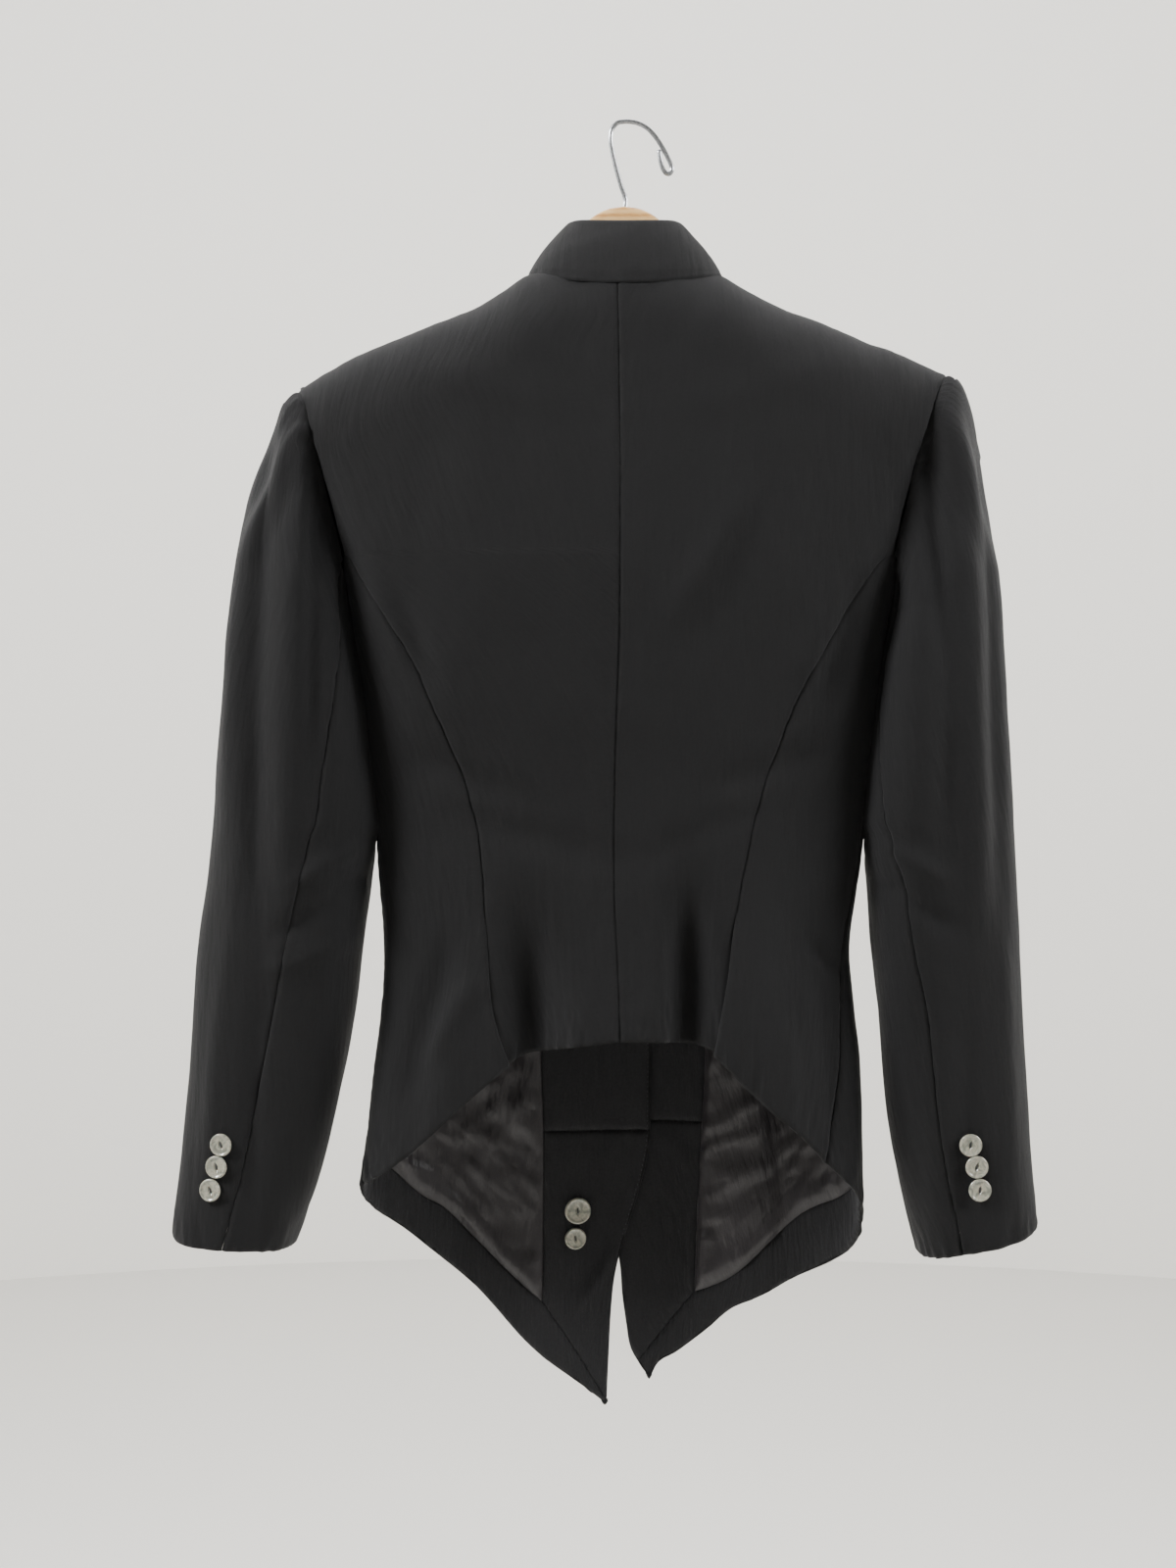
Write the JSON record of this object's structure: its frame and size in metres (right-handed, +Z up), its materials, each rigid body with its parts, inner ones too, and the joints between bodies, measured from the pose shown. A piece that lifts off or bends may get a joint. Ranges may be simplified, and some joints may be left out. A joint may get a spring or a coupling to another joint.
{
  "type": "stand-collar tailored jacket on a wooden hanger",
  "caption": "Black tailored stand-collar jacket with a high-cut back and long pointed fronts, hung on a wooden hanger by its wire hook.",
  "frame": {"origin": "the inner top of the wire hook, where it rests on a knob", "axes": "+Z up, the jacket's back faces -Y and its fronts face +Y, its left side is towards -X"},
  "size_m": [0.5795, 0.1183, 0.8772],
  "materials": {
    "wool": "fine matt black wool weave with a soft sheen",
    "facing_wool": "pressed black wool facing",
    "satin": "dark grey satin lining",
    "shell": "polished grey-green shell",
    "beech": "clear-varnished light wood",
    "wire": "plated steel wire"
  },
  "bodies": {
    "root": {"back_centre_left": "wool", "back_centre_right": "wool", "back_side_left": "wool", "back_side_right": "wool", "front_left": "wool", "front_right": "wool", "sleeve_upper_left": "wool", "sleeve_upper_right": "wool", "sleeve_under_left": "wool", "sleeve_under_right": "wool", "collar": "wool", "facing_upper_left": "facing_wool", "facing_upper_right": "facing_wool", "facing_lower_left": "facing_wool", "facing_lower_right": "facing_wool", "hem_facing_left": "facing_wool", "hem_facing_right": "facing_wool", "lining_left": "satin", "lining_right": "satin", "cuff_button_left_1": "shell", "cuff_button_left_2": "shell", "cuff_button_left_3": "shell", "cuff_button_right_1": "shell", "cuff_button_right_2": "shell", "cuff_button_right_3": "shell", "spare_button_large": "shell", "spare_button_small": "shell", "front_button_1": "shell", "front_button_2": "shell", "front_button_3": "shell", "front_button_4": "shell", "front_button_5": "shell", "hanger_wood": "beech", "hanger_hook": "wire"}
  },
  "joints": []
}
